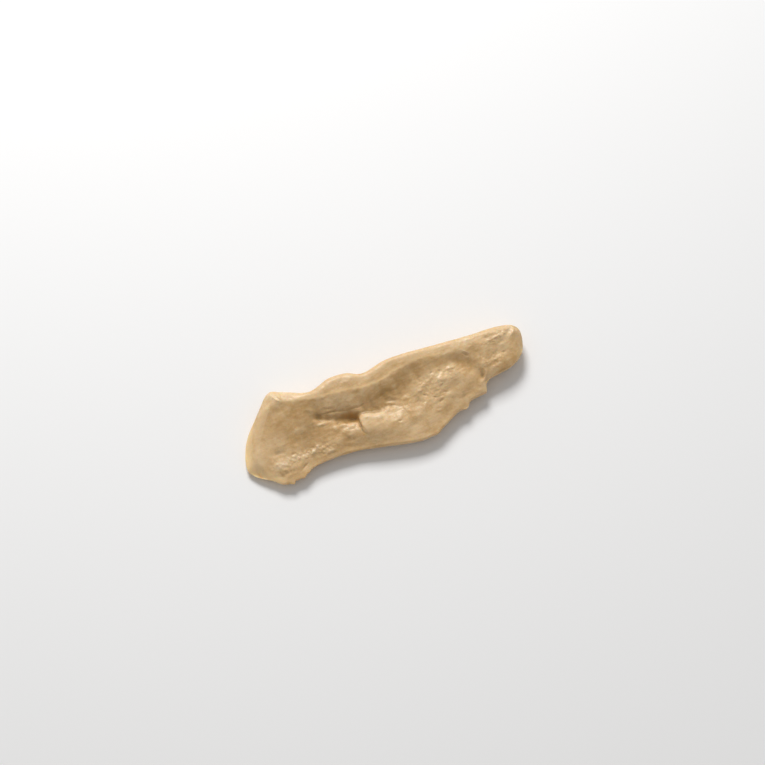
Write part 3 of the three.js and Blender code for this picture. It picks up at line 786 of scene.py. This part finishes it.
def grainTree(values, material):
    tree = bpy.data.node_groups.new("meatGrain", "GeometryNodeTree")
    tree.interface.new_socket("Geometry", in_out="OUTPUT", socket_type="NodeSocketGeometry")
    tree.interface.new_socket("Geometry", in_out="INPUT", socket_type="NodeSocketGeometry")
    for name in values:
        tree.interface.new_socket(name, in_out="INPUT", socket_type="NodeSocketFloat")
    start = tree.nodes.new("NodeGroupInput")
    end = tree.nodes.new("NodeGroupOutput")

    def join(value, socket):
        if isinstance(value, (int, float)):
            socket.default_value = value
        else:
            tree.links.new(value, socket)

    def work(operation, *values):
        node = tree.nodes.new("ShaderNodeMath")
        node.operation = operation
        for value, socket in zip(values, node.inputs):
            join(value, socket)
        return node.outputs[0]

    def scaled(vector, operation, other):
        node = tree.nodes.new("ShaderNodeVectorMath")
        node.operation = operation
        join(vector, node.inputs[0])
        join(other, node.inputs["Scale"] if operation == "SCALE" else node.inputs[1])
        return node.outputs[0]

    def attribute(name):
        node = tree.nodes.new("GeometryNodeInputNamedAttribute")
        node.data_type = "FLOAT"
        node.inputs["Name"].default_value = name
        return node.outputs["Attribute"]

    def cloud(vector, detail, step):
        # soft noise from -0.5 to 0.5, drawn from the seed
        node = tree.nodes.new("ShaderNodeTexNoise")
        node.noise_dimensions = "4D"
        join(vector, node.inputs["Vector"])
        join(work("ADD", start.outputs["Seed"], step), node.inputs["W"])
        node.inputs["Scale"].default_value = 1
        node.inputs["Detail"].default_value = detail
        return work("SUBTRACT", node.outputs["Fac"], 0.5)

    def sized(name):
        return scaled(position.outputs[0], "SCALE", work("DIVIDE", 1.0, start.outputs[name]))

    position = tree.nodes.new("GeometryNodeInputPosition")
    coarse = work("MAXIMUM", attribute("coarse"), start.outputs["Smooth Share"])
    lumps = work("MULTIPLY", cloud(sized("Lump Size"), 1, 0), start.outputs["Lump Height"])
    knots = work("MULTIPLY", cloud(sized("Knot Size"), 2, 10), start.outputs["Knot Height"])

    # fibres run along the fillet
    stretch = tree.nodes.new("ShaderNodeCombineXYZ")
    join(work("DIVIDE", 1.0, start.outputs["Fibre Length"]), stretch.inputs[0])
    join(work("DIVIDE", 1.0, start.outputs["Fibre Width"]), stretch.inputs[1])
    join(work("DIVIDE", 1.0, start.outputs["Fibre Width"]), stretch.inputs[2])
    fibres = cloud(scaled(position.outputs[0], "MULTIPLY", stretch.outputs[0]), 1, 20)
    fibres = work("MULTIPLY", fibres, start.outputs["Fibre Height"])

    # small pits where cells of a Voronoi pattern have their middles
    cells = tree.nodes.new("ShaderNodeTexVoronoi")
    cells.feature = "SMOOTH_F1"
    join(sized("Pit Size"), cells.inputs["Vector"])
    cells.inputs["Scale"].default_value = 1
    fromMiddle = work("MULTIPLY", cells.outputs["Distance"], grainShape["pitNarrowness"])
    pitted = work("SUBTRACT", 1.0, work("MINIMUM", fromMiddle, 1.0))
    pits = work("MULTIPLY", work("MULTIPLY", pitted, pitted), start.outputs["Pit Depth"])

    # small rounded grains with creases between them, in their own patches
    bent = tree.nodes.new("ShaderNodeTexNoise")
    join(sized("Grain Size"), bent.inputs["Vector"])
    bent.inputs["Scale"].default_value = grainShape["bendScale"]
    rounded = tree.nodes.new("ShaderNodeTexVoronoi")
    rounded.feature = "SMOOTH_F1"
    rounded.inputs["Scale"].default_value = 1
    rounded.inputs["Smoothness"].default_value = grainShape["grainSoftness"]
    join(scaled(sized("Grain Size"), "ADD", bent.outputs["Color"]), rounded.inputs["Vector"])
    grains = work("SUBTRACT", grainShape["grainTop"], rounded.outputs["Distance"])
    grains = work("MULTIPLY", grains, start.outputs["Grain Height"])
    grains = work("MULTIPLY", grains, attribute("granular"))

    raised = work("MULTIPLY", work("SUBTRACT", work("ADD", lumps, knots), pits), coarse)
    raised = work("ADD", work("ADD", raised, fibres), grains)

    # nothing moves near the resting plane
    split = tree.nodes.new("ShaderNodeSeparateXYZ")
    join(position.outputs[0], split.inputs[0])
    above = work("DIVIDE", split.outputs[2], start.outputs["Bare Height"])
    clear = work("MINIMUM", work("MAXIMUM", work("SUBTRACT", above, 1.0), 0.0), 1.0)
    raised = work("MULTIPLY", raised, clear)

    normal = tree.nodes.new("GeometryNodeInputNormal")
    move = tree.nodes.new("GeometryNodeSetPosition")
    tree.links.new(start.outputs["Geometry"], move.inputs["Geometry"])
    join(scaled(normal.outputs[0], "SCALE", raised), move.inputs["Offset"])
    realize = tree.nodes.new("GeometryNodeRealizeInstances")
    paint = tree.nodes.new("GeometryNodeSetMaterial")
    paint.inputs["Material"].default_value = material
    tree.links.new(move.outputs[0], realize.inputs[0])
    tree.links.new(realize.outputs[0], paint.inputs["Geometry"])
    tree.links.new(paint.outputs[0], end.inputs[0])
    return tree


def withGrain(piece, material):
    tree = grainTree(grain, material)
    modifier = piece.modifiers.new("meatGrain", "NODES")
    modifier.node_group = tree
    for item in tree.interface.items_tree:
        if item.in_out == "INPUT" and item.name in grain:
            modifier[item.identifier] = grain[item.name]
    evaluated = piece.evaluated_get(bpy.context.evaluated_depsgraph_get())
    grained = bpy.data.meshes.new_from_object(evaluated)
    piece.modifiers.clear()
    piece.data = grained
    piece.data.shade_smooth()
    return grained


def hollowness(spots, pairs, rounds, reach):
    # how far each point lies below its neighbourhood, as a share of reach: more rounds look at more points
    count = len(spots)
    a, b = pairs.T
    near = np.bincount(a, minlength=count) + np.bincount(b, minlength=count)
    mean = spots[:, 2].copy()
    for k in range(rounds):
        total = np.bincount(a, mean[b], count) + np.bincount(b, mean[a], count)
        mean = (mean + total / near) / 2
    return np.clip((mean - spots[:, 2]) / (reach * mm), -1, 1)


# Flesh colours: the crevice colour is painted shade and the edge colour a painted glow through thin flesh;
# the brown and pale colours give real flesh tone and also painted shade and highlights
colours = {
    "flesh": (0.665, 0.42, 0.184, 1),
    "paleAndHighlight": (0.775, 0.572, 0.332, 1),
    "brownAndShade": (0.435, 0.247, 0.076, 1),
    "palestAndHighlight": (0.80, 0.62, 0.42, 1),
    "edgeGlow": (0.90, 0.64, 0.32, 1),
    "creviceShade": (0.27, 0.158, 0.054, 1),
}

# Sizes of the colour patterns in metres and how rough they are, and the moist surface
finish = {
    "blotchSize": 0.0045,
    "mottleSize": 0.0019,
    "speckSize": 0.0009,
    "strandWidth": 0.0005,
    "poreSize": 0.00045,
    "roughness": 0.55,
    "coatRoughness": 0.22,
    "softness": 0.35,
    "softDepth": 0.001,
    "softTint": (1.0, 0.5, 0.22),
    "bumpStrength": 0.5,
    "bumpHeight": 0.00012,
}


def cookedMeat():
    material = bpy.data.materials.new("cookedMeat")
    material.use_nodes = True
    tree = material.node_tree
    shader = tree.nodes["Principled BSDF"]

    def join(value, socket):
        if isinstance(value, (int, float, tuple)):
            socket.default_value = value
        else:
            tree.links.new(value, socket)

    def attribute(name):
        node = tree.nodes.new("ShaderNodeAttribute")
        node.attribute_name = name
        return node.outputs["Fac"]

    def fitted(value, low, high, toLow=0.0, toHigh=1.0):
        node = tree.nodes.new("ShaderNodeMapRange")
        node.interpolation_type = "SMOOTHSTEP"
        for socket, v in zip(node.inputs, (value, low, high, toLow, toHigh)):
            join(v, socket)
        return node.outputs[0]

    def work(operation, *values):
        node = tree.nodes.new("ShaderNodeMath")
        node.operation = operation
        for value, socket in zip(values, node.inputs):
            join(value, socket)
        return node.outputs[0]

    def mixed(amount, under, over):
        node = tree.nodes.new("ShaderNodeMix")
        node.data_type = "RGBA"
        join(amount, node.inputs["Factor"])
        join(under, node.inputs["A"])
        join(over, node.inputs["B"])
        return node.outputs["Result"]

    coordinates = tree.nodes.new("ShaderNodeTexCoord").outputs["Object"]

    def cloud(size, detail, stretch=1.0):
        node = tree.nodes.new("ShaderNodeMapping")
        node.inputs["Scale"].default_value = (1 / (size * stretch), 1 / size, 1 / size)
        tree.links.new(coordinates, node.inputs["Vector"])
        noise = tree.nodes.new("ShaderNodeTexNoise")
        tree.links.new(node.outputs[0], noise.inputs["Vector"])
        noise.inputs["Scale"].default_value = 1
        noise.inputs["Detail"].default_value = detail
        noise.inputs["Roughness"].default_value = finish["roughness"]
        return noise.outputs["Fac"]

    blotches = cloud(finish["blotchSize"], 3)
    mottling = cloud(finish["mottleSize"], 2, 1.4)
    specks = cloud(finish["speckSize"], 3, 1.6)
    strands = cloud(finish["strandWidth"], 2, 7.0)

    # each pattern gives its colour from one strength of the pattern to another, up to a share
    colour = mixed(fitted(blotches, 0.35, 0.7, 0.0, 0.45), colours["flesh"], colours["paleAndHighlight"])
    colour = mixed(fitted(blotches, 0.5, 0.28, 0.0, 0.45), colour, colours["brownAndShade"])
    colour = mixed(fitted(mottling, 0.5, 0.72, 0.0, 0.4), colour, colours["paleAndHighlight"])
    colour = mixed(fitted(mottling, 0.5, 0.28, 0.0, 0.32), colour, colours["brownAndShade"])
    # browner flesh and painted shade in the valley and hollows, from their patches
    colour = mixed(work("MULTIPLY", attribute("brownAndShade"), 0.85), colour, colours["brownAndShade"])
    # pale flesh and painted highlights on lit lumps and streaks, from their patches, palest where
    # strongest
    colour = mixed(work("MULTIPLY", attribute("paleAndHighlight"), 0.75), colour, colours["paleAndHighlight"])
    colour = mixed(fitted(attribute("paleAndHighlight"), 0.5, 1.0, 0.0, 0.5), colour, colours["palestAndHighlight"])
    colour = mixed(fitted(specks, 0.5, 0.78, 0.0, 0.4), colour, colours["paleAndHighlight"])
    colour = mixed(fitted(specks, 0.48, 0.25, 0.0, 0.35), colour, colours["brownAndShade"])
    colour = mixed(fitted(strands, 0.45, 0.25, 0.0, 0.22), colour, colours["brownAndShade"])
    # painted glow at the thin edges and painted highlight line along the crest
    colour = mixed(attribute("glowAndCrestHighlight"), colour, colours["edgeGlow"])
    # painted shade in narrow creases and pits
    colour = mixed(fitted(attribute("hollowFine"), 0.15, 1.0, 0.0, 0.7), colour, colours["creviceShade"])
    # painted highlight on raised grains and lumps
    colour = mixed(fitted(attribute("hollowFine"), -0.1, -0.8, 0.0, 0.42), colour, colours["paleAndHighlight"])
    # painted shade in the wide hollows and valley
    colour = mixed(fitted(attribute("hollowWide"), 0.1, 1.0, 0.0, 0.75), colour, colours["brownAndShade"])
    tree.links.new(colour, shader.inputs["Base Color"])

    tree.links.new(fitted(specks, 0.3, 0.75, 0.6, 0.42), shader.inputs["Roughness"])
    tree.links.new(fitted(blotches, 0.35, 0.65, 0.03, 0.22), shader.inputs["Coat Weight"])
    shader.inputs["Coat Roughness"].default_value = finish["coatRoughness"]
    shader.inputs["Subsurface Weight"].default_value = finish["softness"]
    shader.inputs["Subsurface Radius"].default_value = finish["softTint"]
    shader.inputs["Subsurface Scale"].default_value = finish["softDepth"]

    bump = tree.nodes.new("ShaderNodeBump")
    bump.inputs["Strength"].default_value = finish["bumpStrength"]
    bump.inputs["Distance"].default_value = finish["bumpHeight"]
    pores = cloud(finish["poreSize"], 3)
    tree.links.new(work("ADD", pores, work("MULTIPLY", strands, 0.6)), bump.inputs["Height"])
    tree.links.new(bump.outputs[0], shader.inputs["Normal"])
    return material


# How the colour masks spread, in millimetres. Rows of x and value are joined by straight lines
masks = {
    "fineRounds": 80,
    "fineReach": 0.25,
    "sideFade": [(-42, 4.5), (-36, 1.4), (38, 1.4), (44, 3.5)],
    "wideRounds": 1200,
    "wideReach": 1.2,
    "wideFade": 3.0,
    "glowWidth": [(-43, 3.2), (-38, 2.0), (-34, 0.6), (36, 0.4), (44, 1.3)],
    "glowShare": [(-43, 1.0), (-38, 0.9), (-34, 0.28), (36, 0.22), (44, 0.7)],
    "glowMiddle": 1.0,
    "glowTall": 4.5,
    "crestBehind": 0.1,
    "crestWidth": 0.3,
    "crestMiddle": -4,
    "crestLength": 19,
    "crestShare": 0.52,
}


def overX(rows, x):
    return np.interp(x, *zip(*rows))


def storeMasks(ofMesh):
    spots = places(ofMesh)
    pairs = np.empty(len(ofMesh.edges) * 2, np.int32)
    ofMesh.edges.foreach_get("vertices", pairs)
    pairs = pairs.reshape(-1, 2)
    x, y, z = (spots / mm).T
    loop = outlineRibs()[0][::3, :2]
    inFrom = nearLine(np.vstack([loop, loop[:1]]), x, y)[0]

    fine = hollowness(spots, pairs, masks["fineRounds"], masks["fineReach"])
    storeMask(ofMesh, "hollowFine", fine * (1 - np.exp(-(inFrom / overX(masks["sideFade"], x)) ** 4)))
    wide = hollowness(spots, pairs, masks["wideRounds"], masks["wideReach"])
    storeMask(ofMesh, "hollowWide", wide * (1 - np.exp(-(inFrom / masks["wideFade"]) ** 2)))
    for name in ("brownAndShade", "paleAndHighlight"):
        storeMask(ofMesh, name, patchAmount(name, x, y))

    # painted glow where light shines through the thin flesh at the edge, strongest near the floor, and a
    # painted highlight line along the crest of the rim
    glowOnEdge = overX(masks["glowShare"], x) * np.exp(-(inFrom / overX(masks["glowWidth"], x)) ** 2)
    glowOnEdge *= np.exp(-((z - masks["glowMiddle"]) / masks["glowTall"]) ** 2)
    crestY = crestAlong(x)[0]
    highlightOnCrest = bell(y - crestY - masks["crestBehind"], masks["crestWidth"])
    highlightOnCrest *= bell(x - masks["crestMiddle"], masks["crestLength"])
    storeMask(ofMesh, "glowAndCrestHighlight", np.maximum(glowOnEdge, masks["crestShare"] * highlightOnCrest))


meat = cookedMeat()
grained = withGrain(fillet, meat)
storeMasks(grained)
print("grain and masks made")

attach(fillet, "root")
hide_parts("duck_fillet")

# Camera where the photograph's stood: angle down 68.4 degrees, the fillet turned 28 degrees in view
view = {
    "azimuth": -28,
    "elevation": 68.4,
    "distance": 0.70,
    "aim": (0.00246, 0.00597, 0.0),
    "frameWidth": 0.22096,
    "sensorWidth": 36,
}
azimuth, elevation = math.radians(view["azimuth"]), math.radians(view["elevation"])
back = Vector((math.sin(azimuth) * math.cos(elevation), -math.cos(azimuth) * math.cos(elevation),
               math.sin(elevation)))
cameraData = bpy.data.cameras.new("camera")
cameraData.sensor_width = view["sensorWidth"]
cameraData.lens = view["sensorWidth"] * view["distance"] / view["frameWidth"]
cameraData.clip_start = 0.01
camera = bpy.data.objects.new("camera", cameraData)
camera.location = Vector(view["aim"]) + back * view["distance"]
camera.rotation_euler = (-back).to_track_quat("-Z", "Y").to_euler()
bpy.context.scene.collection.objects.link(camera)
bpy.context.scene.camera = camera

# Plain floor and soft studio light
studio = {
    "floorSize": 3.0,
    "floorColour": (0.87, 0.865, 0.86, 1),
    "floorRoughness": 0.6,
    "keyPower": 6.8,
    "keySize": 0.35,
    "keyDistance": 0.9,
    "keyElevation": 44,
    "keySide": (0.248, 1.0, 0),
    "fill": 0.40,
}
floorMesh = bpy.data.meshes.new("floor")
half = studio["floorSize"] / 2
corners = [(-half, -half, 0), (half, -half, 0), (half, half, 0), (-half, half, 0)]
floorMesh.from_pydata(corners, [], [(0, 1, 2, 3)])
floor = bpy.data.objects.new("floor", floorMesh)
bpy.context.scene.collection.objects.link(floor)
floorPaint = bpy.data.materials.new("floorPaint")
floorPaint.use_nodes = True
floorShader = floorPaint.node_tree.nodes["Principled BSDF"]
floorShader.inputs["Base Color"].default_value = studio["floorColour"]
floorShader.inputs["Roughness"].default_value = studio["floorRoughness"]
floorMesh.materials.append(floorPaint)

keyUp = math.radians(studio["keyElevation"])
keyAway = Vector(studio["keySide"]).normalized() * math.cos(keyUp) + Vector((0, 0, math.sin(keyUp)))
keyData = bpy.data.lights.new("keyLight", "AREA")
keyData.energy = studio["keyPower"]
keyData.size = studio["keySize"]
key = bpy.data.objects.new("keyLight", keyData)
key.location = keyAway * studio["keyDistance"]
key.rotation_euler = keyAway.to_track_quat("Z", "Y").to_euler()
bpy.context.scene.collection.objects.link(key)

world = bpy.data.worlds.new("softRoom")
world.use_nodes = True
world.node_tree.nodes["Background"].inputs["Color"].default_value = (1, 1, 1, 1)
world.node_tree.nodes["Background"].inputs["Strength"].default_value = studio["fill"]
bpy.context.scene.world = world
bpy.context.scene.view_settings.view_transform = "Standard"
print("camera and light set")
